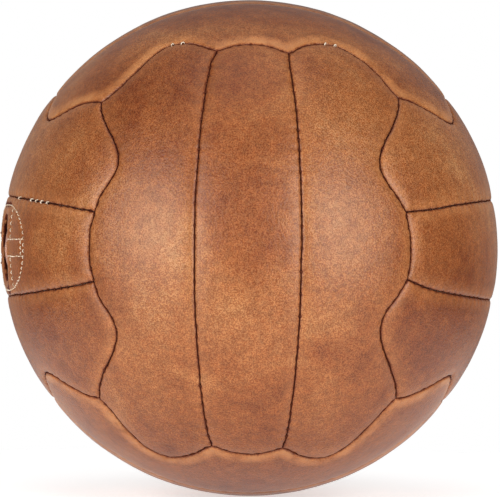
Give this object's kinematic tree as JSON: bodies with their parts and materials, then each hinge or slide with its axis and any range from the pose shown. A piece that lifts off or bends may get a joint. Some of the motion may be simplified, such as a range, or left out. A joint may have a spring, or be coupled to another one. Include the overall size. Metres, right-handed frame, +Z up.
{
  "type": "medicine ball",
  "caption": "Round leather medicine ball sewn from crosswise strips, with a stitched oval mouth, soft filling and a sand weight in its middle.",
  "frame": {"origin": "centre of the ball", "axes": "+Z up through the face whose strips run left to right, -Y out of the front face whose strips stand upright, -X through the side with the mouth"},
  "size_m": [0.2812, 0.28, 0.28],
  "materials": {
    "cover_leather": "full-grain tan leather, waxed, soft sheen",
    "mouth_leather": "smooth split leather, pale tan",
    "canvas_lining": "plain-woven unbleached cotton canvas",
    "seam_thread": "dark brown waxed thread",
    "mouth_thread": "cream linen thread",
    "wadding": "packed textile wadding",
    "bag_cloth": "close-woven cotton bag cloth",
    "sand": "dry sand, matt",
    "tie_cord": "hemp cord"
  },
  "bodies": {
    "root": {"front_left_panel": "cover_leather", "front_left_lining": "canvas_lining", "front_middle_panel": "cover_leather", "front_middle_lining": "canvas_lining", "front_right_panel": "cover_leather", "front_right_lining": "canvas_lining", "back_left_panel": "cover_leather", "back_left_lining": "canvas_lining", "back_middle_panel": "cover_leather", "back_middle_lining": "canvas_lining", "back_right_panel": "cover_leather", "back_right_lining": "canvas_lining", "bottom_front_panel": "cover_leather", "bottom_front_lining": "canvas_lining", "bottom_middle_panel": "cover_leather", "bottom_middle_lining": "canvas_lining", "bottom_rear_panel": "cover_leather", "bottom_rear_lining": "canvas_lining", "top_front_panel": "cover_leather", "top_front_lining": "canvas_lining", "top_middle_panel": "cover_leather", "top_middle_lining": "canvas_lining", "top_rear_panel": "cover_leather", "top_rear_lining": "canvas_lining", "left_lower_panel": "cover_leather", "left_lower_lining": "canvas_lining", "left_middle_panel": "cover_leather", "left_middle_lining": "canvas_lining", "left_upper_panel": "cover_leather", "left_upper_lining": "canvas_lining", "right_lower_panel": "cover_leather", "right_lower_lining": "canvas_lining", "right_middle_panel": "cover_leather", "right_middle_lining": "canvas_lining", "right_upper_panel": "cover_leather", "right_upper_lining": "canvas_lining", "edge_thread_top_back_right": "seam_thread", "edge_thread_bottom_front_right": "seam_thread", "edge_thread_bottom_back_left": "seam_thread", "edge_thread_top_front_left": "seam_thread", "strip_thread_front_left": "seam_thread", "strip_thread_front_right": "seam_thread", "strip_thread_back_left": "seam_thread", "strip_thread_back_right": "seam_thread", "strip_thread_bottom_front": "seam_thread", "strip_thread_bottom_rear": "seam_thread", "strip_thread_top_front": "seam_thread", "strip_thread_top_rear": "seam_thread", "strip_thread_left_lower": "seam_thread", "strip_thread_left_upper": "seam_thread", "strip_thread_right_lower": "seam_thread", "strip_thread_right_upper": "seam_thread", "mouth_patch": "mouth_leather", "mouth_tongue": "mouth_leather", "mouth_stitching": "mouth_thread", "wadding_upper": "wadding", "wadding_lower": "wadding", "weight_bag": "bag_cloth", "sand_fill": "sand", "bag_tie": "tie_cord"}
  },
  "joints": []
}
